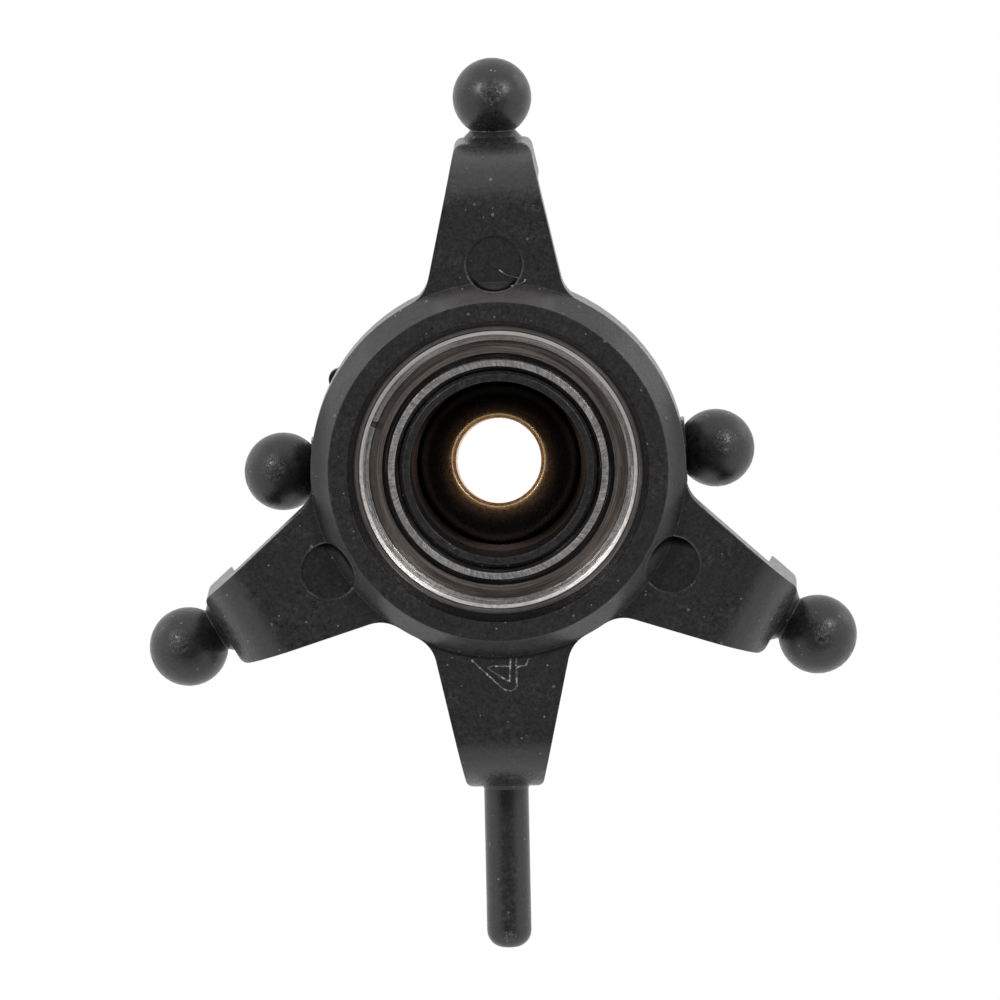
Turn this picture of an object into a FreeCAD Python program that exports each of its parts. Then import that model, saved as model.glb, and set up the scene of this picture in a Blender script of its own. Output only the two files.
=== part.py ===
import FreeCAD, Part
import math
import os

from FreeCAD import Vector

# Swashplate of a small radio-controlled helicopter.  Millimetres, +Z up the mast.
# The origin is the centre of the brass ball on which both plates tilt.
# +Y points along the front servo arm, and -Y along the anti-rotation pin.

# ---- bearing: a standard 7 x 11 x 3 deep-groove bearing with two shields
bearing_bore_d = 7.0
bearing_outer_d = 11.0
bearing_width = 3.0
bearing_drop = 3.8             # its lower face, below the tilt centre
bearing_ball_count = 11
bearing_ball_share = 0.486     # of the mean of the ring space's width and height
raceway_clearance = 0.025      # groove radius less ball radius
race_bore_chamfer = 0.17
race_outer_chamfer = 0.2
race_shoulder_rise = 0.195     # shoulder above the bottom of the raceway
inner_land_share = 0.195       # flat end, of the space between bore and outer surface
inner_step_depth = 0.4         # how deep the land's step goes from each face
outer_land_share = 0.36        # flat end of the outer race, of the same space
land_lip = 0.12                # lip over the groove that holds shield and snap ring
shield_groove_depth = 0.6      # from the face to the shoulder the shield rests on
shield_groove_rise = 0.15      # groove radius less land radius
shield_sheet = 0.12
shield_gap_share = 0.11        # open ring between shield and inner race
shield_flange_share = 0.095    # of the same space
shield_slope_share = 0.15      # sloped zone outside the flange
shield_dish = 0.18             # how far the shield's inner flange stands out
snap_ring_share = 0.165
snap_ring_thickness = 0.26
snap_ring_gap_deg = 3.0
snap_ring_gap_angle = 21.0
fit_clearance = 0.02           # between sheet, wire and their groove
cage_width = 0.44
cage_base = 0.17               # below the ball pockets
cage_prong = 0.25              # above the balls' centres
pocket_clearance = 0.055

# ---- fits between bearing, plates, ball and mast
seat_clearance = 0.01          # bearing in the lower plate, boss in the bearing
socket_clearance = 0.05        # ball in its socket
running_gap = 0.25             # upper plate over the outer race

# ---- lower plate
ring_wall = 1.11
ring_drop = 0.4                # ring's upper edge below the bearing's upper face
lip_height = 0.9
lip_cover = 0.45               # how far the lip reaches over the outer race
lip_flare = 0.27
flank_height = 0.9
flank_width = 0.62
ring_top_chamfer = 0.12
arm_thickness = 1.6
arm_taper_deg = 12.35
arm_tip_radius = 11.4          # from the axis to the end wall of every arm
arm_tip_half_width = 1.32
block_length = 1.25            # raised end of every arm, outside the turning rotor balls
arm_nose_round = 2.0
arm_step_round = 0.5
arm_top_round = 0.35
arm_corner_round = 0.35
arm_root_round = 1.2
block_cover = 0.4              # arm end above the stem it carries
servo_arm_angles = (90.0, 210.0, 330.0)
pin_arm_angle = 270.0
servo_ball_d = 2.8
servo_ball_reach = 12.87
stem_d = 1.62
root_flare = 0.28              # stem and pin widen by this where they leave the arm
root_flare_length = 0.3
link_plane_z = 0.4             # height of all link balls and of the pin
pin_d = 1.58
pin_reach = 17.37
pin_tip_round = 0.62
ejector_mark_d = 2.02
ejector_mark_depth = 0.1
rear_mark_reach = 6.97
front_mark_reach = 7.26

# ---- upper plate
boss_wall = 0.36
boss_recess = 0.05             # boss end inside the bearing's lower face
boss_chamfer = 0.12
shoulder_clearance = 0.05      # shoulder inside the edge of the inner race's land
flange_thickness = 1.85
rim_inset = 0.17               # upper rim inside the lower ring's outer wall
rim_chamfer = 0.2
collar_wall = 1.15
collar_rise = 0.45
collar_slope = 0.35
rotor_ball_d = 2.76
rotor_ball_reach = 7.67
rotor_arm_half_width = 1.12
rotor_arm_end_gap = 1.06       # from the end of the rotor arm to the ball's centre
rotor_arm_round = 0.3
rotor_rest_turn_deg = -2.0
gate_nub_angle = 30.0
gate_nub_d = 0.8
gate_nub_height = 0.55
gate_nub_reach = 0.28          # beyond the rim

# ---- centre ball
ball_entry_clearance = 0.13    # ball inside the boss it is pushed in through
ball_length = 5.0              # between its two flats
snap_interference = 0.1        # lip that the ball snaps past
snap_land = 0.15
socket_top = 1.5               # height at which the socket stops above the centre
socket_mouth_chamfer = 0.15
mast_d = 3.0
mast_clearance = 0.01
bore_chamfer = 0.12
ball_rest_tilt_deg = 5.0

# ---- places and radii that follow
bearing_bore_r = bearing_bore_d / 2
bearing_outer_r = bearing_outer_d / 2
bearing_z0 = -bearing_drop
bearing_z1 = bearing_z0 + bearing_width
bearing_mid_z = (bearing_z0 + bearing_z1) / 2
bearing_space = bearing_outer_r - bearing_bore_r
pitch_r = bearing_bore_r + bearing_space / 2
bearing_ball_d = bearing_ball_share * math.sqrt(bearing_space * bearing_width)
groove_r = bearing_ball_d / 2 + raceway_clearance
inner_land_r = bearing_bore_r + inner_land_share * bearing_space
inner_shoulder_r = pitch_r - bearing_ball_d / 2 + race_shoulder_rise
outer_land_r = bearing_outer_r - outer_land_share * bearing_space
outer_shoulder_r = pitch_r + bearing_ball_d / 2 - race_shoulder_rise
shield_inner_r = inner_land_r + shield_gap_share * bearing_space
shield_flange_r = shield_inner_r + shield_flange_share * bearing_space
shield_bend_r = shield_flange_r + shield_slope_share * bearing_space
shield_groove_r = outer_land_r + shield_groove_rise
ring_r = bearing_outer_r + seat_clearance + ring_wall
ring_top_z = bearing_z1 - ring_drop
face_z = bearing_z0 - lip_height
arm_z0 = face_z + flank_height
arm_z1 = arm_z0 + arm_thickness
block_inner_r = arm_tip_radius - block_length
block_top_z = link_plane_z + stem_d / 2 + block_cover
boss_r = bearing_bore_r - seat_clearance
boss_bore_r = boss_r - boss_wall
centre_ball_r = boss_bore_r - ball_entry_clearance
socket_r = centre_ball_r + socket_clearance
snap_lip_r = centre_ball_r - snap_interference
snap_lip_z = -math.sqrt(socket_r ** 2 - snap_lip_r ** 2)
socket_mouth_r = math.sqrt(socket_r ** 2 - socket_top ** 2)
flange_z0 = bearing_z1 + running_gap
flange_z1 = flange_z0 + flange_thickness
rim_r = ring_r - rim_inset
rotor_arm_end = rotor_ball_reach - rotor_arm_end_gap

TALL = 4 * bearing_width       # long enough to pass through every piece
AXIS = Vector(0, 0, 1)
CENTRE = Vector(0, 0, 0)


def on_section(radius, height):
    """A point of a profile that is revolved about the mast axis."""
    return Vector(radius, 0, height)


def round_corner(before, corner, after, radius):
    """Start, middle and end of the arc that rounds a corner between two lines."""
    back = (before - corner).normalize()
    ahead = (after - corner).normalize()
    half = back.getAngle(ahead) / 2
    bisector = (back + ahead).normalize()
    reach = radius / math.tan(half)
    middle = corner + bisector * (radius / math.sin(half) - radius)
    return corner + back * reach, middle, corner + ahead * reach


def rounded_face(corners, place):
    """Flat face inside corners (a, b, radius), each rounded by its own radius."""
    points = [place(a, b) for a, b, _ in corners]
    arcs = []
    for i, (_, _, radius) in enumerate(corners):
        corner = points[i]
        if radius > 0:
            arcs.append(round_corner(points[i - 1], corner, points[(i + 1) % len(points)], radius))
        else:
            arcs.append((corner, None, corner))
    edges = []
    for i, (start, middle, end) in enumerate(arcs):
        if middle is not None:
            edges.append(Part.Arc(start, middle, end).toShape())
        following = arcs[(i + 1) % len(arcs)][0]
        if following.distanceToPoint(end) > 1e-7:
            edges.append(Part.LineSegment(end, following).toShape())
    return Part.Face(Part.Wire(edges))


def revolved(corners):
    """Solid of revolution about the mast axis from section corners (r, z, radius)."""
    return rounded_face(corners, on_section).revolve(CENTRE, AXIS, 360)


def turned(shape, angle):
    """A copy of the shape turned about the mast axis."""
    copy = shape.copy()
    copy.rotate(CENTRE, AXIS, angle)
    return copy


def moved_up(shape, height):
    """A copy of the shape raised by a height."""
    copy = shape.copy()
    copy.translate(Vector(0, 0, height))
    return copy


def flipped(shape):
    """The same piece seated from the bearing's other face."""
    return shape.mirror(Vector(0, 0, bearing_mid_z), AXIS)


def radial_rod(radius, start, end, height):
    """Round rod along +X from start to end, at a height."""
    return Part.makeCylinder(radius, end - start, Vector(start, 0, height), Vector(1, 0, 0))


# ---- bearing

def inner_race():
    step_low = bearing_z0 + inner_step_depth
    step_high = bearing_z1 - inner_step_depth
    blank = revolved([
        (bearing_bore_r + race_bore_chamfer, bearing_z0, 0),
        (inner_land_r, bearing_z0, 0),
        (inner_land_r, step_low, 0),
        (inner_shoulder_r, step_low, 0),
        (inner_shoulder_r, step_high, 0),
        (inner_land_r, step_high, 0),
        (inner_land_r, bearing_z1, 0),
        (bearing_bore_r + race_bore_chamfer, bearing_z1, 0),
        (bearing_bore_r, bearing_z1 - race_bore_chamfer, 0),
        (bearing_bore_r, bearing_z0 + race_bore_chamfer, 0),
    ])
    return blank.cut(raceway())


def outer_race():
    ends = []
    for face, inward in ((bearing_z0, 1), (bearing_z1, -1)):
        ends.append([
            (outer_shoulder_r, face + inward * shield_groove_depth, 0),
            (shield_groove_r, face + inward * shield_groove_depth, 0),
            (shield_groove_r, face + inward * land_lip, 0),
            (outer_land_r, face + inward * land_lip, 0),
            (outer_land_r, face, 0),
            (bearing_outer_r - race_outer_chamfer, face, 0),
            (bearing_outer_r, face + inward * race_outer_chamfer, 0),
        ])
    lower_end, upper_end = ends
    return revolved(lower_end + upper_end[::-1]).cut(raceway())


def raceway():
    """Ring that cuts the rolling grooves of both races."""
    return Part.makeTorus(pitch_r, groove_r, Vector(0, 0, bearing_mid_z), AXIS)


def shield():
    """Dished sheet ring that closes the lower end of the bearing."""
    outer_r = shield_groove_r - fit_clearance
    back = bearing_z0 + shield_groove_depth - fit_clearance
    front = back - shield_sheet
    return revolved([
        (shield_inner_r, front - shield_dish, 0),
        (shield_flange_r, front - shield_dish, 0),
        (shield_bend_r, front, 0),
        (outer_r, front, 0),
        (outer_r, back, 0),
        (shield_bend_r - shield_sheet / 4, back, 0),
        (shield_flange_r - shield_sheet / 4, back - shield_dish, 0),
        (shield_inner_r, back - shield_dish, 0),
    ])


def snap_ring():
    """Open wire ring that holds the shield in the outer race's groove."""
    outer_r = shield_groove_r - fit_clearance
    inner_r = outer_r - snap_ring_share * bearing_space
    top = bearing_z0 + shield_groove_depth - shield_sheet - 2 * fit_clearance
    bottom = top - snap_ring_thickness
    section = rounded_face([
        (inner_r, bottom, 0),
        (outer_r, bottom, 0),
        (outer_r, top, 0),
        (inner_r, top, 0),
    ], on_section)
    wire = section.revolve(CENTRE, AXIS, 360 - snap_ring_gap_deg)
    return turned(wire, snap_ring_gap_angle + snap_ring_gap_deg / 2)


def bearing_ball(index):
    place = Vector(pitch_r, 0, bearing_mid_z)
    return turned(Part.makeSphere(bearing_ball_d / 2, place), index * 360 / bearing_ball_count)


def cage():
    """Crown cage: a thin ring under the balls, with prongs that clasp each one."""
    pocket_r = bearing_ball_d / 2 + pocket_clearance
    bottom = bearing_mid_z - pocket_r - cage_base
    top = bearing_mid_z + cage_prong
    crown = revolved([
        (pitch_r - cage_width / 2, bottom, 0),
        (pitch_r + cage_width / 2, bottom, 0),
        (pitch_r + cage_width / 2, top, 0),
        (pitch_r - cage_width / 2, top, 0),
    ])
    reach = pitch_r + cage_width
    pocket = radial_rod(pocket_r, pitch_r - cage_width, reach, bearing_mid_z)
    pockets = [turned(pocket, i * 360 / bearing_ball_count) for i in range(bearing_ball_count)]
    return crown.cut(pockets)


# ---- lower plate

def arm_side(side):
    """Points of one side of an arm along +X: on the ring, in the root arc, on the edge, tip."""
    taper = math.radians(arm_taper_deg)
    across = Vector(math.sin(taper), side * math.cos(taper), 0)
    along = Vector(math.cos(taper), -side * math.sin(taper), 0)
    tip = Vector(arm_tip_radius, side * arm_tip_half_width, 0)
    offset = across.dot(tip)
    centre_out = ring_r + arm_root_round
    run = math.sqrt(centre_out ** 2 - (offset + arm_root_round) ** 2)
    centre = across * (offset + arm_root_round) + along * run
    on_ring = centre * (ring_r / centre_out)
    on_edge = across * offset + along * run
    to_ring = (on_ring - centre).normalize()
    to_edge = (on_edge - centre).normalize()
    middle = centre + (to_ring + to_edge).normalize() * arm_root_round
    return on_ring, middle, on_edge, tip


def arm_outline():
    """One tapered arm along +X seen from above, from the axis out, with rounded root and tip."""
    ring_a, middle_a, edge_a, tip_a = arm_side(-1)
    ring_b, middle_b, edge_b, tip_b = arm_side(1)
    start_a, round_a, end_a = round_corner(edge_a, tip_a, tip_b, arm_corner_round)
    start_b, round_b, end_b = round_corner(tip_a, tip_b, edge_b, arm_corner_round)
    edges = [
        Part.LineSegment(CENTRE, ring_a),
        Part.Arc(ring_a, middle_a, edge_a),
        Part.LineSegment(edge_a, start_a),
        Part.Arc(start_a, round_a, end_a),
        Part.LineSegment(end_a, start_b),
        Part.Arc(start_b, round_b, end_b),
        Part.LineSegment(end_b, edge_b),
        Part.Arc(edge_b, middle_b, ring_b),
        Part.LineSegment(ring_b, CENTRE),
    ]
    return Part.Face(Part.Wire([edge.toShape() for edge in edges]))


def arm_profile():
    """Side view of an arm along +X: thin under the rotor balls, then a raised end."""
    across = ring_r
    face = rounded_face([
        (0, arm_z0, 0),
        (arm_tip_radius, arm_z0, arm_nose_round),
        (arm_tip_radius, block_top_z, arm_top_round),
        (block_inner_r, block_top_z, arm_top_round),
        (block_inner_r, arm_z1, arm_step_round),
        (0, arm_z1, 0),
    ], on_section)
    face.translate(Vector(0, -across, 0))
    return face.extrude(Vector(0, 2 * across, 0))


def ring_blank():
    """The ring's outer form, still solid in the middle."""
    return revolved([
        (0, face_z, 0),
        (ring_r - flank_width, face_z, 0),
        (ring_r, face_z + flank_height, 0),
        (ring_r, ring_top_z - ring_top_chamfer, 0),
        (ring_r - ring_top_chamfer, ring_top_z, 0),
        (0, ring_top_z, 0),
    ])


def bearing_pocket():
    """Space for the bearing, its lip, and the open mouth below."""
    lip_r = bearing_outer_r - lip_cover
    seat_r = bearing_outer_r + seat_clearance
    seat_z = bearing_z0 - fit_clearance / 2
    return revolved([
        (0, face_z - lip_height, 0),
        (lip_r + 2 * lip_flare, face_z - lip_height, 0),
        (lip_r, seat_z, 0),
        (seat_r, seat_z, 0),
        (seat_r, TALL, 0),
        (0, TALL, 0),
    ])


def root_cone(radius, flare):
    """Flared root where a stem along +X leaves the arm's end wall."""
    place = Vector(arm_tip_radius, 0, link_plane_z)
    return Part.makeCone(radius + flare, radius, root_flare_length, place, Vector(1, 0, 0))


def servo_ball_stud():
    """Moulded link ball and its stem, along +X."""
    start = arm_tip_radius - block_length / 2
    stem = radial_rod(stem_d / 2, start, servo_ball_reach, link_plane_z)
    ball = Part.makeSphere(servo_ball_d / 2, Vector(servo_ball_reach, 0, link_plane_z))
    return stem.fuse([root_cone(stem_d / 2, root_flare), ball])


def anti_rotation_pin():
    """Long round pin with a rounded tip, along +X."""
    start = arm_tip_radius - block_length / 2
    section = rounded_face([
        (0, start, 0),
        (pin_d / 2, start, 0),
        (pin_d / 2, pin_reach, pin_tip_round),
        (0, pin_reach, 0),
    ], on_section)
    pin = section.revolve(CENTRE, AXIS, 360)
    pin.rotate(CENTRE, Vector(0, 1, 0), 90)
    return moved_up(pin, link_plane_z).fuse(root_cone(pin_d / 2, root_flare / 2))


def ejector_marks(body):
    """Round sunken marks that follow the surface they are in."""
    mark_r = ejector_mark_d / 2
    deeper = moved_up(body, ejector_mark_depth)
    low = face_z - lip_height
    tall = arm_z0 + arm_thickness / 2 - low
    cutters = []
    for angle in servo_arm_angles:
        reach = front_mark_reach if angle == servo_arm_angles[0] else rear_mark_reach
        pin = Part.makeCylinder(mark_r, tall, Vector(reach, 0, low))
        cutters.append(turned(pin, angle).cut(deeper))
    return cutters


def lower_plate():
    plan = moved_up(arm_outline(), face_z).extrude(Vector(0, 0, TALL))
    arm = arm_profile().common(plan)
    arms = [turned(arm, angle) for angle in servo_arm_angles + (pin_arm_angle,)]
    body = ring_blank().fuse(arms)
    body = body.cut(ejector_marks(body))
    body = body.cut(bearing_pocket())
    studs = [turned(servo_ball_stud(), angle) for angle in servo_arm_angles]
    studs.append(turned(anti_rotation_pin(), pin_arm_angle))
    return body.fuse(studs).removeSplitter()


# ---- upper plate

def hub():
    """Boss, shoulder, disc and ball collar in one turned form."""
    boss_end = bearing_z0 + boss_recess
    shoulder_r = inner_land_r - shoulder_clearance
    collar_r = socket_mouth_r + collar_wall
    collar_z = flange_z1 + collar_rise
    lip_low = snap_lip_z - snap_land
    entry = boss_bore_r - snap_lip_r
    return revolved([
        (boss_bore_r, boss_end, 0),
        (boss_r - boss_chamfer, boss_end, 0),
        (boss_r, boss_end + boss_chamfer, 0),
        (boss_r, bearing_z1, 0),
        (shoulder_r, bearing_z1, 0),
        (shoulder_r, flange_z0, 0),
        (rim_r - rim_chamfer, flange_z0, 0),
        (rim_r, flange_z0 + rim_chamfer, 0),
        (rim_r, flange_z1 - rim_chamfer, 0),
        (rim_r - rim_chamfer, flange_z1, 0),
        (collar_r + collar_slope, flange_z1, 0),
        (collar_r, collar_z, 0),
        (socket_mouth_r + socket_mouth_chamfer, collar_z, 0),
        (socket_mouth_r, collar_z - socket_mouth_chamfer, 0),
        (socket_mouth_r, 0, 0),
        (snap_lip_r, 0, 0),
        (snap_lip_r, lip_low, 0),
        (boss_bore_r, lip_low - entry, 0),
    ])


def rotor_arm():
    """Short squared arm with a moulded link ball, along +X."""
    start = rim_r - rotor_arm_end_gap
    block = Part.makeBox(
        rotor_arm_end - start, 2 * rotor_arm_half_width, flange_thickness,
        Vector(start, -rotor_arm_half_width, flange_z0))
    long_edges = [e for e in block.Edges if abs(e.tangentAt(0).x) > 0.99]
    block = block.makeFillet(rotor_arm_round, long_edges)
    stem = radial_rod(stem_d / 2, start, rotor_ball_reach, link_plane_z)
    ball = Part.makeSphere(rotor_ball_d / 2, Vector(rotor_ball_reach, 0, link_plane_z))
    return block.fuse([stem, ball])


def gate_nub():
    """Small round stub left where the moulding was cut from its runner."""
    nub_r = gate_nub_d / 2
    middle = (flange_z0 + flange_z1) / 2
    centre = rim_r + gate_nub_reach - nub_r
    stub = Part.makeCylinder(nub_r, gate_nub_height, Vector(centre, 0, middle - gate_nub_height / 2))
    return turned(stub, gate_nub_angle)


def upper_plate():
    arms = [turned(rotor_arm(), angle) for angle in (0, 180)]
    body = hub().fuse(arms + [gate_nub()])
    body = body.cut(Part.makeSphere(socket_r)).removeSplitter()
    return turned(body, rotor_rest_turn_deg)


# ---- centre ball

def centre_ball():
    half = ball_length / 2
    bore_r = mast_d / 2 + mast_clearance
    flats = Part.makeCylinder(centre_ball_r, ball_length, Vector(0, 0, -half))
    ball = Part.makeSphere(centre_ball_r).common(flats)
    bore = revolved([
        (0, -half, 0),
        (bore_r + bore_chamfer, -half, 0),
        (bore_r, -half + bore_chamfer, 0),
        (bore_r, half - bore_chamfer, 0),
        (bore_r + bore_chamfer, half, 0),
        (0, half, 0),
    ])
    ball = ball.cut(bore)
    ball.rotate(CENTRE, Vector(1, 0, 0), ball_rest_tilt_deg)
    return ball


def main():
    nodes = {
        "lower_plate": lower_plate(),
        "upper_plate": upper_plate(),
        "centre_ball": centre_ball(),
        "bearing_outer_race": outer_race(),
        "bearing_inner_race": inner_race(),
        "bearing_cage": cage(),
        "bearing_shield_lower": shield(),
        "bearing_shield_upper": flipped(shield()),
        "snap_ring_lower": snap_ring(),
        "snap_ring_upper": flipped(snap_ring()),
    }
    for index in range(bearing_ball_count):
        nodes[f"bearing_ball_{index + 1:02d}"] = bearing_ball(index)
    os.makedirs("parts", exist_ok=True)
    for name, shape in nodes.items():
        shape.exportStep(f"parts/{name}.step")
        box = shape.BoundBox
        print(f"{name}: solids {len(shape.Solids)}, valid {shape.isValid()}, volume {shape.Volume:.3f}, "
              f"z {box.ZMin:.2f} to {box.ZMax:.2f}")


main()
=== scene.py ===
import math

import bpy
from mathutils import Matrix, Vector


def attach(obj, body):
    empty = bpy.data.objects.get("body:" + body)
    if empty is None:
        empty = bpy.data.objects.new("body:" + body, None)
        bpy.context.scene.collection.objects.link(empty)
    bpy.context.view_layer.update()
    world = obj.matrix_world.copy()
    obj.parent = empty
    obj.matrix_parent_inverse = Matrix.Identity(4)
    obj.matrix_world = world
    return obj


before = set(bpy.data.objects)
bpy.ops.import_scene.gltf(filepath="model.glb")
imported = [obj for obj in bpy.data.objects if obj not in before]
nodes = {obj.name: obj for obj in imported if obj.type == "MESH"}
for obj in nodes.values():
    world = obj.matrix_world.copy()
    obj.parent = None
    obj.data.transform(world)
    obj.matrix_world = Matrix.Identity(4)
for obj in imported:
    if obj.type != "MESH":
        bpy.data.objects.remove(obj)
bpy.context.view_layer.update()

# A model helicopter's swashplate, looked at from below.  Lengths here are in
# millimetres in the row frame (+Z up the mast, +Y along the front servo arm).
MM = 0.001
RAMP_SOCKETS = ("From Min", "From Max", "To Min", "To Max")


# ---------------------------------------------------------------- shader help

class Shader:
    """A node material under construction; every method returns an output socket."""

    def __init__(self, name):
        self.material = bpy.data.materials.new(name)
        self.material.use_nodes = True
        self.tree = self.material.node_tree
        self.tree.nodes.clear()
        self.out = self.add("ShaderNodeOutputMaterial")
        self.bsdf = self.add("ShaderNodeBsdfPrincipled")
        self.link(self.bsdf.outputs[0], self.out.inputs["Surface"])
        coord = self.add("ShaderNodeTexCoord")
        scaled = self.add("ShaderNodeVectorMath", operation="SCALE")
        self.link(coord.outputs["Object"], scaled.inputs[0])
        scaled.inputs["Scale"].default_value = 1 / MM
        self.mm = scaled.outputs[0]
        self._split = {}

    def add(self, kind, **settings):
        node = self.tree.nodes.new(kind)
        for key, value in settings.items():
            setattr(node, key, value)
        return node

    def link(self, source, target):
        self.tree.links.new(source, target)

    def feed(self, socket, value):
        if isinstance(value, bpy.types.NodeSocket):
            self.link(value, socket)
        else:
            socket.default_value = value

    def math(self, operation, a, b=0.0, clamp=False):
        node = self.add("ShaderNodeMath", operation=operation, use_clamp=clamp)
        self.feed(node.inputs[0], a)
        self.feed(node.inputs[1], b)
        return node.outputs[0]

    def fold(self, operation, values):
        found = values[0]
        for value in values[1:]:
            found = self.math(operation, found, value)
        return found

    def total(self, *values):
        return self.fold("ADD", values)

    def times(self, *values):
        return self.fold("MULTIPLY", values)

    def either(self, *masks):
        return self.fold("MAXIMUM", masks)

    def axis(self, index, vector=None):
        vector = vector or self.mm
        key = vector.as_pointer()
        if key not in self._split:
            node = self.add("ShaderNodeSeparateXYZ")
            self.link(vector, node.inputs[0])
            self._split[key] = node
        return self._split[key].outputs[index]

    def turned(self, degrees):
        """Coordinates turned about the X axis."""
        node = self.add("ShaderNodeVectorRotate", rotation_type="AXIS_ANGLE")
        self.link(self.mm, node.inputs["Vector"])
        node.inputs["Axis"].default_value = (1, 0, 0)
        node.inputs["Angle"].default_value = math.radians(degrees)
        return node.outputs[0]

    def radius(self, vector=None):
        x, y = self.axis(0, vector), self.axis(1, vector)
        return self.math("SQRT", self.total(self.times(x, x), self.times(y, y)))

    def angle(self, vector=None):
        return self.math("ARCTAN2", self.axis(1, vector), self.axis(0, vector))

    def join(self, x, y, z=0.0):
        node = self.add("ShaderNodeCombineXYZ")
        for socket, value in zip(node.inputs, (x, y, z)):
            self.feed(socket, value)
        return node.outputs[0]

    def away_from(self, point):
        node = self.add("ShaderNodeVectorMath", operation="DISTANCE")
        self.link(self.mm, node.inputs[0])
        node.inputs[1].default_value = point
        return node.outputs["Value"]

    def lean(self, point, side):
        """How far a place lies from point toward side, in millimetres."""
        offset = self.add("ShaderNodeVectorMath", operation="SUBTRACT")
        self.link(self.mm, offset.inputs[0])
        offset.inputs[1].default_value = point
        dot = self.add("ShaderNodeVectorMath", operation="DOT_PRODUCT")
        self.link(offset.outputs[0], dot.inputs[0])
        dot.inputs[1].default_value = side
        return dot.outputs["Value"]

    def noise(self, size, detail=2.0, rough=0.5, vector=None, seed=0.0):
        """Soft noise whose blobs are about size millimetres across, 0 to 1."""
        node = self.add("ShaderNodeTexNoise", noise_dimensions="4D")
        self.link(vector or self.mm, node.inputs["Vector"])
        node.inputs["Scale"].default_value = 1 / size
        node.inputs["Detail"].default_value = detail
        node.inputs["Roughness"].default_value = rough
        node.inputs["W"].default_value = seed
        return node.outputs["Fac"]

    def specks(self, size, share, seed):
        """Scattered round dots: 1 at their middle, 0 elsewhere. share of the cells have one."""
        dot_r = 0.18
        node = self.add("ShaderNodeTexVoronoi", voronoi_dimensions="4D")
        self.link(self.mm, node.inputs["Vector"])
        node.inputs["Scale"].default_value = 1 / size
        node.inputs["W"].default_value = seed
        near = self.ramp(node.outputs["Distance"], dot_r, dot_r * 1.35, 1, 0)
        chosen = self.math("LESS_THAN", self.axis(0, node.outputs["Color"]), share)
        return self.times(near, chosen)

    def ramp(self, value, low, high, at_low=0.0, at_high=1.0, smooth=True):
        """value, moved from the span low to high into the span at_low to at_high."""
        kind = "SMOOTHSTEP" if smooth else "LINEAR"
        node = self.add("ShaderNodeMapRange", interpolation_type=kind)
        self.feed(node.inputs["Value"], value)
        for name, number in zip(RAMP_SOCKETS, (low, high, at_low, at_high)):
            node.inputs[name].default_value = number
        return node.outputs["Result"]

    def band(self, value, low, high, soft):
        """1 between low and high, fading over soft on both sides."""
        return self.times(self.ramp(value, low - soft, low), self.ramp(value, high, high + soft, 1, 0))

    def mix(self, factor, a, b):
        node = self.add("ShaderNodeMix", data_type="RGBA")
        self.feed(node.inputs[0], factor)
        for socket, value in ((node.inputs[6], a), (node.inputs[7], b)):
            self.feed(socket, (*value, 1) if isinstance(value, tuple) and len(value) == 3 else value)
        return node.outputs[2]

    def bump(self, height, strength, distance, normal=None):
        """Surface normal from a height of 0 to 1 that stands for distance millimetres."""
        node = self.add("ShaderNodeBump")
        node.inputs["Strength"].default_value = strength
        node.inputs["Distance"].default_value = distance * MM
        self.link(height, node.inputs["Height"])
        if normal is not None:
            self.link(normal, node.inputs["Normal"])
        return node.outputs[0]

    def edges(self, radius):
        """Normal that rounds every edge by a radius in millimetres."""
        node = self.add("ShaderNodeBevel", samples=6)
        node.inputs["Radius"].default_value = radius * MM
        return node.outputs[0]

    def edge_wear(self, normal):
        """How far a rounded-edge normal leans from the face's own: 0 on flats."""
        geometry = self.add("ShaderNodeNewGeometry")
        dot = self.add("ShaderNodeVectorMath", operation="DOT_PRODUCT")
        self.link(normal, dot.inputs[0])
        self.link(geometry.outputs["Normal"], dot.inputs[1])
        return self.math("SUBTRACT", 1.0, dot.outputs["Value"], clamp=True)

    def set(self, **values):
        for name, value in values.items():
            socket = self.bsdf.inputs[name.replace("_", " ")]
            if isinstance(value, tuple) and len(value) == 3:
                value = (*value, 1)
            self.feed(socket, value)
        return self


def linear(level):
    """Linear value of a screen level of 0 to 255."""
    s = level / 255
    return s / 12.92 if s <= 0.04045 else ((s + 0.055) / 1.055) ** 2.4


def grey(level):
    return (linear(level),) * 3


def srgb(*levels):
    return tuple(linear(level) for level in levels)


def tint(level, red, green, blue):
    """A grey of this level with its channels multiplied."""
    value = linear(level)
    return (value * red, value * green, value * blue)


def smoke(level):
    """The nylon's faintly warm grey."""
    return tint(level, 1.05, 0.97, 1.0)


# ---------------------------------------------------------------- materials

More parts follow.
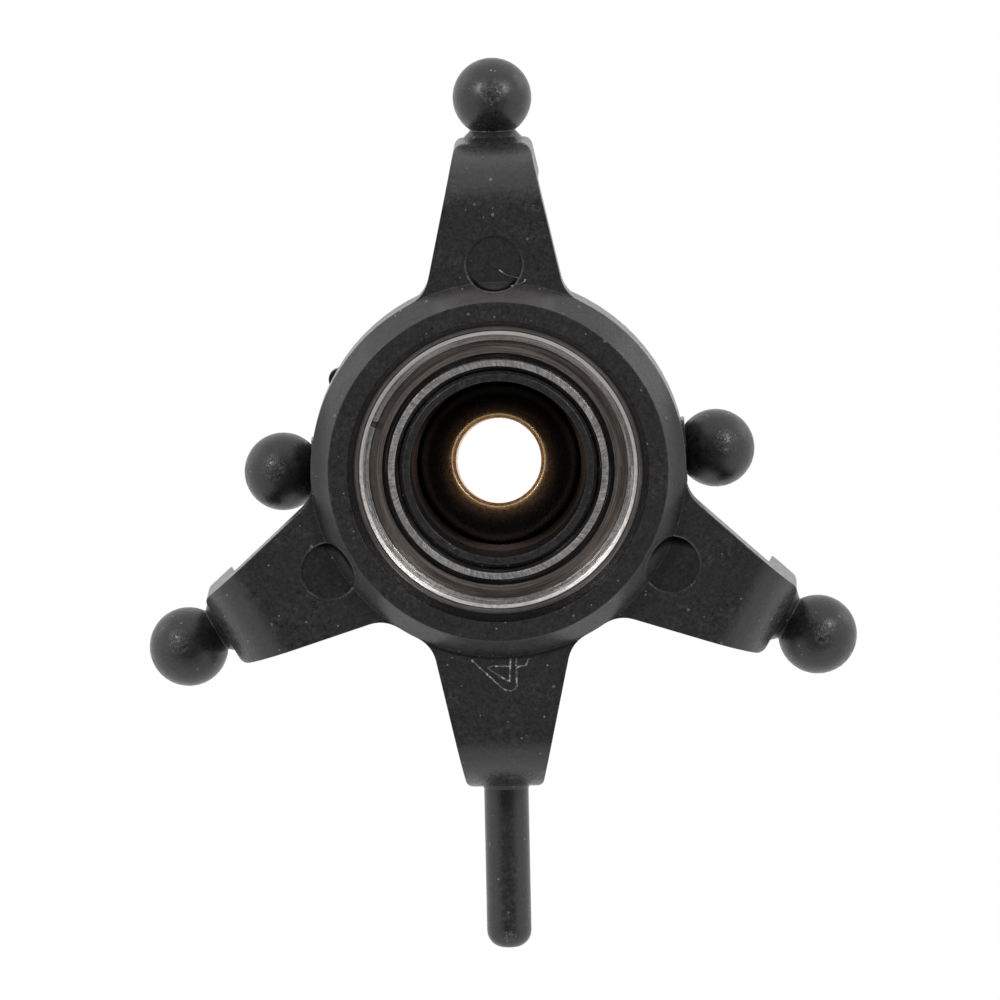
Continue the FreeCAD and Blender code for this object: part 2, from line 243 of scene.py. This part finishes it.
def nylon(name, level, marks=(), glint_patches=(), painted_shades=(), lit_flank_arms=(), tips=(), well=None):
    """Moulded black nylon: fine orange peel, glass specks, paler worn edges.
    marks are ejector marks as (point, radius, side of the painted shade on the wall,
    width of that painted shade, painted shade on the floor), each with a painted highlight
    just outside its edge, brightest toward that side; patches are pitted spots as
    (point, radius), bumped and painted paler as painted glints; and shades are rings of
    painted shade in deep corners and on the flank's sides, as (inner radius, outer radius,
    side).  arms are the directions in which the ring's flank is painted paler, as painted
    light, where it runs out on an arm; tips are (direction, start, end, slope) of arm ends
    that sweep back, and well is the radius of a bore whose inside is painted brown as
    painted light, paler out toward its wall."""
    s = Shader(name)
    mast_axis = (0, 0, 0)

    # Grain, pits, dust and worn edges all over.
    edge_normal = s.edges(0.05)
    wear = s.edge_wear(edge_normal)
    broad = s.noise(1.6, 2, 0.6, seed=1)
    grain = s.noise(0.09, 3, 0.7, seed=2)
    pits = s.noise(0.17, 3, 0.75, seed=3)
    pitted = s.ramp(s.noise(1.9, 2, 0.6, seed=7), 0.42, 0.60)
    dust = s.specks(0.30, 0.20, seed=4)
    glints = s.specks(0.16, 0.12, seed=5)
    worn = s.times(s.ramp(wear, 0.02, 0.25), s.ramp(s.noise(0.09, 2, 0.7, seed=8), 0.45, 0.62))
    sparkly = s.ramp(s.noise(0.13, 3, 0.8, seed=6), 0.48, 0.62)
    colour = s.mix(broad, smoke(level - 5), smoke(level + 5))
    colour = s.mix(s.ramp(grain, 0.38, 0.66), colour, smoke(level + 18))
    colour = s.mix(s.times(s.ramp(pits, 0.52, 0.66), pitted), colour, smoke(level + 26))
    colour = s.mix(s.times(s.ramp(pits, 0.42, 0.34), pitted), colour, smoke(level - 14))
    colour = s.mix(s.times(dust, 0.65), colour, smoke(128))
    colour = s.mix(s.times(glints, 0.65), colour, smoke(165))
    off_marks = [s.ramp(s.away_from(mark[0]), mark[1] + 0.05, mark[1] + 0.14) for mark in marks]
    colour = s.mix(s.times(worn, *off_marks, 0.7), colour, smoke(level + 75))
    height = s.total(s.times(grain, 0.6), s.times(pits, pitted, 1.6))

    # Painted light on the ring's flank: painted paler where it runs out on an arm.
    for side in lit_flank_arms:
        toward = s.ramp(s.math("DIVIDE", s.lean(mast_axis, side), s.radius()), 0.93, 0.955)
        flank = s.times(s.ramp(s.radius(), 5.97, 6.02), s.ramp(s.radius(), 6.62, 6.25), toward)
        colour = s.mix(flank, colour, smoke(level + 38))

    # Painted shade on the ejector marks' wall and floor, a painted highlight just outside their edge,
    # and painted shade in the deep corners and on the flank's sides.
    dark = []
    for point, mark_r, side, spread, sunk in marks:
        away, lean = s.away_from(point), s.lean(point, side)
        dark.append(s.times(s.ramp(away, mark_r - spread, mark_r - 0.06),
                            s.ramp(away, mark_r + 0.01, mark_r - 0.02),
                            s.ramp(lean, 0.15, 0.75)))
        dark.append(s.times(s.ramp(away, mark_r, mark_r - 0.06), sunk))
        rim_highlight = s.times(s.band(away, mark_r, mark_r + 0.03, 0.03), s.ramp(lean, -0.6, 1.0))
        colour = s.mix(s.times(rim_highlight, s.ramp(sparkly, 0, 1, 0.35, 1.0)), colour, smoke(120))
    for inner, outer, side in painted_shades:
        corner = s.band(s.radius(), inner, outer, 0.03)
        if side is not None:
            corner = s.times(corner, s.ramp(s.lean(mast_axis, side), 5.6, 6.4, 0.0, 0.5))
        dark.append(corner)

    # Pitted spots: bumped pits, painted paler as painted glints.
    if glint_patches:
        spots = s.either(*(s.ramp(s.away_from(point), patch_r * 0.3, patch_r, 1, 0)
                           for point, patch_r in glint_patches))
        pits_and_glint = s.times(spots, sparkly)
        colour = s.mix(s.times(pits_and_glint, 0.6), colour, smoke(125))
        height = s.total(height, s.times(pits_and_glint, 3.0))
    # Painted light in the bore: its inside painted brown, paler out toward its wall.
    if well is not None:
        r = s.radius()
        deep = s.mix(s.ramp(r, well * 0.74, well * 0.94), srgb(40, 31, 27), srgb(76, 62, 57))
        inside = s.times(s.ramp(r, well, well - 0.04), s.ramp(s.axis(2), -1.0, -1.1))
        colour = s.mix(inside, colour, deep)
    gloss = 0.5
    # All the painted shade: a near-black colour with little gloss.
    if dark:
        shade = s.either(*dark)
        colour = s.mix(s.times(shade, 0.9), colour, smoke(8))
        gloss = s.ramp(shade, 0, 1, gloss, 0.02)

    normal = edge_normal
    if tips:
        sweep = []
        for side, start, end, slope in tips:
            along = s.ramp(s.lean(mast_axis, side), start, end, smooth=False)
            sweep.append(s.times(along, along, -slope * (end - start) / 2))
        normal = s.bump(s.total(*sweep), 1.0, 1.0, normal)
    normal = s.bump(height, 0.7, 0.016, normal)
    s.set(Base_Color=colour, Roughness=s.ramp(pits, 0.3, 0.7, 0.24, 0.40), Normal=normal,
          IOR=1.55, Specular_IOR_Level=gloss)
    return s.material


def turned_steel(name, level, warm, scratch=0.5, bands=(), slopes=(), rough=0.32, dark=0.55,
                 radial=0.0):
    """Ground bearing steel: fine circular or radial scratches, stains, and rings of painted shade.
    bands are (inner, outer, amount, level) rings of burnishing, dark lines, and painted shade
    in recesses and under the plastic lip, and slopes are (inner, outer, rise) rings that lean
    toward the bore.  radial is the share of the scratches that run outward instead of round."""
    s = Shader(name)
    r, a, z = s.radius(), s.angle(), s.axis(2)
    fine_rings = s.join(s.times(r, 30.0), s.times(a, 1.5), s.times(z, 14.0))
    broad_rings = s.join(s.times(r, 9.0), s.times(a, 0.8), s.times(z, 6.0))
    outward = s.join(s.times(r, 2.5), s.total(s.times(a, 60.0), s.times(r, 7.0)), 0.0)
    rings = s.noise(1.0, 3, 0.8, seed=1, vector=fine_rings)
    coarse = s.noise(1.0, 2, 0.6, seed=2, vector=broad_rings)
    spokes = s.noise(1.0, 5, 0.8, seed=5, vector=outward)
    nicks = s.noise(0.13, 4, 0.8, seed=3)
    stain = s.noise(1.3, 3, 0.6, seed=4)
    base = tint(level, *warm)
    low = tuple(v * dark for v in base)
    high = tuple(min(1.0, v * 1.6) for v in base)
    streaks = s.total(s.times(rings, 1 - radial), s.times(spokes, radial))
    colour = s.mix(s.ramp(streaks, 0.38, 0.62), low, high)
    colour = s.mix(s.times(s.ramp(nicks, 0.58, 0.7), 0.5), colour, high)
    colour = s.mix(s.times(s.ramp(stain, 0.5, 0.7), 0.4), colour, low)
    # Rings of burnishing, dark lines and painted shade.
    for inner, outer, amount, band_level in bands:
        patchy = s.times(s.band(r, inner, outer, 0.02), s.ramp(rings, 0.25, 0.5, 0.6, 1.0))
        colour = s.mix(s.times(patchy, amount), colour, tint(band_level, 1.0, 0.94, 0.90))
    normal = s.edges(0.025)
    if slopes:
        rise = s.total(*(s.times(s.ramp(r, inner, outer, smooth=False), up)
                         for inner, outer, up in slopes))
        normal = s.bump(rise, 1.0, 1.0, normal)
    height = s.total(s.times(streaks, 0.8 * scratch), s.times(coarse, 0.6), s.times(nicks, 0.3))
    normal = s.bump(height, 0.7, 0.012, normal)
    s.set(Base_Color=colour, Metallic=1.0, Roughness=s.ramp(nicks, 0.35, 0.7, rough, rough + 0.15),
          Normal=normal)
    return s.material


def polished_steel(name):
    s = Shader(name)
    haze = s.noise(0.5, 3, 0.6, seed=2)
    lines = s.noise(0.06, 2, 0.5, seed=3)
    colour = s.mix(haze, grey(190), grey(214))
    s.set(Base_Color=colour, Metallic=1.0, Roughness=s.ramp(haze, 0.3, 0.7, 0.08, 0.2),
          Normal=s.bump(lines, 0.1, 0.003))
    return s.material


def turned_brass(name, tilt):
    """Turned brass, with tool rings about its own bore, and painted shade on its underside: darker
    brown outside the bore's edge and darker still further out.
    """
    s = Shader(name)
    own = s.turned(-tilt)
    r, z = s.radius(own), s.axis(2, own)
    tooled = s.join(s.times(r, 20.0), s.times(z, 20.0), 0.0)
    rings = s.noise(1.0, 2, 0.7, seed=1, vector=tooled)
    stain = s.noise(0.7, 3, 0.6, seed=2)
    fine = s.noise(0.12, 3, 0.7, seed=3)
    well_shade = s.mix(stain, (0.16, 0.14, 0.12), (0.22, 0.19, 0.16))
    colour = s.mix(s.ramp(rings, 0.3, 0.7), (0.66, 0.43, 0.21), (0.88, 0.62, 0.34))
    colour = s.mix(s.times(s.ramp(stain, 0.45, 0.75), 0.5), colour, (0.42, 0.24, 0.13))
    # Painted shade on the underside, outside the bore's edge, where it sits down in the well.
    under = s.ramp(z, -0.4, -1.2)
    colour = s.mix(s.times(under, s.ramp(r, 1.66, 1.84)), colour, (0.44, 0.25, 0.15))
    colour = s.mix(s.times(under, s.ramp(r, 1.80, 2.20)), colour, well_shade)
    height = s.total(rings, s.times(fine, 0.4))
    s.set(Base_Color=colour, Metallic=1.0, Roughness=s.ramp(fine, 0.3, 0.7, 0.24, 0.42),
          Normal=s.bump(height, 0.4, 0.008, s.edges(0.04)))
    return s.material


# ---------------------------------------------------------------- dressing the solids

servo_reach, rotor_reach, ball_height, plate_low = 12.87, 7.665, 0.4, -3.8
front_mark_reach, rear_mark_reach, mark_r = 7.26, 6.97, 1.01
front, rear_left, pin_side, rear_right = 90, 210, 270, 330


def on_arm(angle, along, height):
    """A point above or below an arm, at a distance along it from the mast axis."""
    a = math.radians(angle)
    return (along * math.cos(a), along * math.sin(a), height)


# Ejector marks: each has a side of painted shade on its wall, that shade's width, and painted shade on
# its floor.
marks = [
    (on_arm(front, front_mark_reach, plate_low), mark_r, (0, -1, 0), 0.20, 0.06),
    (on_arm(rear_left, rear_mark_reach, plate_low), mark_r, (0.2, 1, 0), 0.55, 0.28),
    (on_arm(rear_right, rear_mark_reach, plate_low), mark_r, (-0.6, 0.8, 0), 0.45, 0.28),
]
# Rings of painted shade: in the gap at the bearing's plastic lip, a painted shadow line where the pin
# arm meets the flank, and on the flank toward +X and toward -X.
painted_shades = [
    (5.10, 5.31, None),
    (6.63, 6.72, (0, -1, 0)),
    (6.00, 6.60, (1, 0, 0)),
    (6.00, 6.60, (-1, 0, 0)),
]
# Pitted spots on the link balls' lower sides, with painted glints.
glint_patches = []
for angle, shift_x, shift_y in (
        (front, -0.03, 0.28), (rear_left, -0.25, 0.17), (rear_right, 0.35, 0.32)):
    x, y, z = on_arm(angle, servo_reach, ball_height)
    glint_patches.append(((x + shift_x, y + shift_y, z - 1.36), 0.52))
glint_patches.append((on_arm(pin_side, 16.95, ball_height - 0.62), 0.35))
# Pitted spots with painted glints on the rotor link balls.
rotor_glint_patches = [
    ((rotor_reach + 0.35, -0.27 + 0.21, ball_height - 1.34), 0.55),
    ((-rotor_reach - 0.42, 0.27 + 0.32, ball_height - 1.32), 0.55),
]
arm_sides = [on_arm(angle, 1, 0) for angle in (front, rear_left, pin_side, rear_right)]
arm_tips = [(side, start, 11.5, 0.44) for side, start in zip(arm_sides, (8.7, 9.4, 9.2, 9.4))]
lower_nylon = nylon("lower_nylon", 32, marks, glint_patches, painted_shades, arm_sides, arm_tips)
upper_nylon = nylon("upper_nylon", 28, glint_patches=rotor_glint_patches, well=3.12)

race_tone = (1.0, 0.97, 0.94)
outer_race_bands = (
    (4.80, 4.90, 0.8, 235),       # burnished inner part of the flat
    (4.925, 4.935, 1.0, 60),      # thin dark line on the flat
    (4.96, 5.08, 0.5, 120),       # painted shade beside the lip
    (5.09, 5.50, 1.0, 22),        # painted shade under the plastic lip, and on the chamfer
)
inner_race_bands = (
    (3.90, 4.40, 1.0, 45),        # painted shade on the step beside the shield
    (3.0, 3.655, 1.0, 38),        # painted shade in the bore and its chamfer
)


def dress(node, material):
    mesh = nodes[node].data
    mesh.materials.clear()
    mesh.materials.append(material)


dress("lower_plate", lower_nylon)
dress("upper_plate", upper_nylon)
dress("centre_ball", turned_brass("turned_brass", 5.0))
dress("bearing_outer_race", turned_steel(
    "outer_race_steel", 176, race_tone, 0.9, outer_race_bands, ((4.68, 4.90, 0.06),),
    rough=0.28, dark=0.5))
dress("bearing_inner_race", turned_steel(
    "inner_race_steel", 190, race_tone, 1.2, inner_race_bands, radial=0.75))
for shield in ("bearing_shield_lower", "bearing_shield_upper"):
    dress(shield, turned_steel(
        shield + "_steel", 124, (1.0, 0.88, 0.80), 0.35, slopes=((4.27, 4.60, 0.02),), rough=0.38))
for wire in ("snap_ring_lower", "snap_ring_upper"):
    dress(wire, turned_steel(
        wire + "_steel", 158, race_tone, 1.2, slopes=((4.58, 4.80, 0.04),), rough=0.26))
dress("bearing_cage", turned_steel("cage_steel", 150, (1.0, 0.96, 0.90), 0.4))
ball_steel = polished_steel("ball_steel")
for node in nodes:
    if node.startswith("bearing_ball_"):
        dress(node, ball_steel)


# ---------------------------------------------------------------- small pieces

def line_piece(name, strokes, width, body, material):
    """Thin raised lines moulded on a face, as rounded mesh beads along the strokes."""
    curve = bpy.data.curves.new(name, "CURVE")
    curve.dimensions = "3D"
    curve.bevel_depth = width / 2 * MM
    curve.bevel_resolution = 2
    curve.use_fill_caps = True
    for points, closed in strokes:
        spline = curve.splines.new("POLY")
        spline.points.add(len(points) - 1)
        for target, (x, y, z) in zip(spline.points, points):
            target.co = (x * MM, y * MM, z * MM, 1)
        spline.use_cyclic_u = closed
    source = bpy.data.objects.new(name + "_curve", curve)
    bpy.context.scene.collection.objects.link(source)
    bpy.context.view_layer.update()
    evaluated = source.evaluated_get(bpy.context.evaluated_depsgraph_get())
    mesh = bpy.data.meshes.new_from_object(evaluated)
    bpy.data.objects.remove(source)
    piece = bpy.data.objects.new(name, mesh)
    bpy.context.scene.collection.objects.link(piece)
    mesh.materials.clear()
    mesh.materials.append(material)
    for polygon in mesh.polygons:
        polygon.use_smooth = True
    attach(piece, body)


def rounded_path(corners, radius, closed, steps=5):
    """Polyline through corners with each inner corner rounded."""
    points = []
    count = len(corners)
    for i, corner in enumerate(corners):
        corner = Vector(corner)
        if not closed and i in (0, count - 1):
            points.append(tuple(corner))
            continue
        before, after = Vector(corners[i - 1]), Vector(corners[(i + 1) % count])
        back, ahead = (before - corner), (after - corner)
        reach = min(radius, back.length * 0.45, ahead.length * 0.45)
        start, end = corner + back.normalized() * reach, corner + ahead.normalized() * reach
        for step in range(steps + 1):
            t = step / steps
            points.append(tuple((1 - t) ** 2 * start + 2 * t * (1 - t) * corner + t * t * end))
    return points


def raised_line_material(name, level, glint):
    """Nylon of a raised line, painted paler than the plates' nylon as painted light on the bead, with
    stretches of painted glint at level glint.
    """
    s = Shader(name)
    grain = s.noise(0.05, 2, 0.6, seed=2)
    lit = s.ramp(s.noise(0.16, 2, 0.6, seed=3), 0.50, 0.64)
    s.set(Base_Color=s.mix(lit, s.mix(grain, grey(level - 12), grey(level + 14)), grey(glint)),
          Roughness=s.ramp(grain, 0.3, 0.7, 0.30, 0.45), Normal=s.bump(grain, 0.4, 0.006))
    return s.material


# Raised lines painted paler, as painted light, with painted glints.
lit_line_nylon = raised_line_material("raised_line_nylon", 72, 185)

# The mould cavity's plain numeral, in outline, on the pin arm's lower face.
numeral_z = plate_low - 0.004
numeral_edge = [(1.09, -6.72), (0.0, -7.77), (-0.26, -7.86), (-0.50, -7.76), (-0.48, -6.99),
                (-0.83, -6.97), (-0.93, -6.70)]
numeral_eye = [(0.53, -7.03), (-0.23, -7.53), (-0.29, -6.97), (0.37, -6.95)]
numeral_stem = [[(-0.29, -6.68), (-0.29, -6.95)], [(-0.50, -6.68), (-0.49, -6.96)]]


def on_face(points):
    return [(x, y, numeral_z) for x, y in points]


numeral = [(rounded_path(on_face(numeral_edge), 0.14, False), False),
           (rounded_path(on_face(numeral_eye), 0.06, True), True)]
numeral += [(on_face(stroke), False) for stroke in numeral_stem]
line_piece("cavity_numeral", numeral, 0.07, "fixed_plate", lit_line_nylon)

# The small pointer at the front ejector mark, on the mark's floor and the face round it.
ring_outer, flank, flank_drop, mark_depth = 6.62, 0.62, 0.9, 0.1


def underside(x, y):
    """Height of the front arm's lower face, the ring's flank and the sunken mark."""
    inward = min(max(ring_outer - math.hypot(x, y), 0.0), flank)
    sunk = mark_depth if math.hypot(x, y - front_mark_reach) < mark_r else 0.0
    return plate_low - inward / flank * flank_drop + sunk


pointer = [(-0.17, 7.05), (-0.42, 6.86), (-0.80, 6.76), (-1.14, 6.68), (-0.90, 6.55), (-0.58, 6.48)]
pointer = [(x, y, underside(x, y) - 0.008) for x, y in pointer]
pointer = [(rounded_path(pointer, 0.05, False), False)]
line_piece("mark_pointer", pointer, 0.045, "fixed_plate", lit_line_nylon)


# ---------------------------------------------------------------- camera

view = Vector((0.012, -0.087, 1.0)).normalized()
level_up = (Vector((0, 1, 0)) - view * view.y).normalized()
level_right = view.cross(level_up)
roll = math.radians(1.2)
up = level_up * math.cos(roll) + level_right * math.sin(roll)
right = level_right * math.cos(roll) - level_up * math.sin(roll)
distance, seen_width, sensor_width = 800.0, 35.21, 36.0
aim_right, aim_down = 0.069, 0.993
ring_face = Vector((0, 0, -4.7))
aim = ring_face + right * aim_right - up * aim_down
camera_data = bpy.data.cameras.new("camera")
camera_data.sensor_width = sensor_width
camera_data.lens = sensor_width * distance / seen_width
camera_data.clip_start = 0.02
camera_data.clip_end = 20.0
camera = bpy.data.objects.new("camera", camera_data)
bpy.context.scene.collection.objects.link(camera)
turn = Matrix((right, up, -view)).transposed().to_4x4()
camera.matrix_world = Matrix.Translation((aim - view * distance) * MM) @ turn
bpy.context.scene.camera = camera


# ---------------------------------------------------------------- stage and light

def stage_plane(name, size, height, colour):
    """Square matt floor; size and height in metres."""
    mesh = bpy.data.meshes.new(name)
    h = size / 2
    mesh.from_pydata([(-h, -h, 0), (h, -h, 0), (h, h, 0), (-h, h, 0)], [], [(0, 1, 2, 3)])
    plane = bpy.data.objects.new(name, mesh)
    plane.location = (0, 0, height)
    bpy.context.scene.collection.objects.link(plane)
    material = bpy.data.materials.new(name + "_paint")
    material.use_nodes = True
    paint = material.node_tree.nodes["Principled BSDF"]
    paint.inputs["Base Color"].default_value = (*colour, 1)
    paint.inputs["Roughness"].default_value = 0.9
    mesh.materials.append(material)
    return plane


floor = stage_plane("floor", 12.0, -1.0, (0.80, 0.80, 0.80))
floor.visible_diffuse = False
floor.visible_glossy = False

# A white background behind the object, and a dimmer room round the photographer.
world = bpy.data.worlds.new("studio")
bpy.context.scene.world = world
world.use_nodes = True
tree = world.node_tree
tree.nodes.clear()


def world_node(kind, **settings):
    node = tree.nodes.new(kind)
    for key, value in settings.items():
        setattr(node, key, value)
    return node


def world_math(operation, a, b):
    node = world_node("ShaderNodeMath", operation=operation)
    tree.links.new(a, node.inputs[0])
    tree.links.new(b, node.inputs[1])
    return node.outputs[0]


def by_height(low, high, at_low, at_high):
    """A value that changes with how far a ray points up the mast."""
    node = world_node("ShaderNodeMapRange", interpolation_type="SMOOTHSTEP")
    tree.links.new(split.outputs["Z"], node.inputs["Value"])
    for socket, number in zip(RAMP_SOCKETS, (low, high, at_low, at_high)):
        node.inputs[socket].default_value = number
    return node.outputs[0]


split = world_node("ShaderNodeSeparateXYZ")
tree.links.new(world_node("ShaderNodeTexCoord").outputs["Generated"], split.inputs[0])
path = world_node("ShaderNodeLightPath")
off_the_camera = by_height(-0.95, -0.50, 0.0, 1.0)
mirrored = world_math("MULTIPLY", path.outputs["Is Glossy Ray"], off_the_camera)
seen = world_math("MAXIMUM", path.outputs["Is Camera Ray"], path.outputs["Is Transmission Ray"])
strength = world_node("ShaderNodeMix", data_type="FLOAT")
tree.links.new(world_math("MAXIMUM", seen, mirrored), strength.inputs[0])
tree.links.new(by_height(-1.0, 0.9, 0.18, 1.0), strength.inputs[2])
strength.inputs[3].default_value = 1.0
light = world_node("ShaderNodeBackground")
light.inputs["Color"].default_value = (1, 1, 1, 1)
tree.links.new(strength.outputs[0], light.inputs["Strength"])
output = world_node("ShaderNodeOutputWorld")
tree.links.new(light.outputs[0], output.inputs["Surface"])


def softbox(name, place, size, watts):
    """Square area light aimed at the object; place in metres."""
    data = bpy.data.lights.new(name, "AREA")
    data.shape = "SQUARE"
    data.size = size
    data.energy = watts
    lamp = bpy.data.objects.new(name, data)
    lamp.location = place
    lamp.rotation_euler = (-Vector(place)).to_track_quat("-Z", "Y").to_euler()
    bpy.context.scene.collection.objects.link(lamp)


# In the camera's picture +Y is up and +X is left.  Two main boxes on its side of the
# object, above it to the left and right.
softbox("key_left", (0.42, 0.36, -0.50), 0.16, 1.7)
softbox("key_right", (-0.42, 0.36, -0.50), 0.16, 1.7)
# Dimmer ones behind the object, which its slanted sides pick up.
softbox("side_left", (0.52, 0.30, 0.22), 0.30, 0.10)
softbox("side_right", (-0.52, 0.30, 0.22), 0.30, 0.22)

bpy.context.scene.view_settings.view_transform = "Standard"
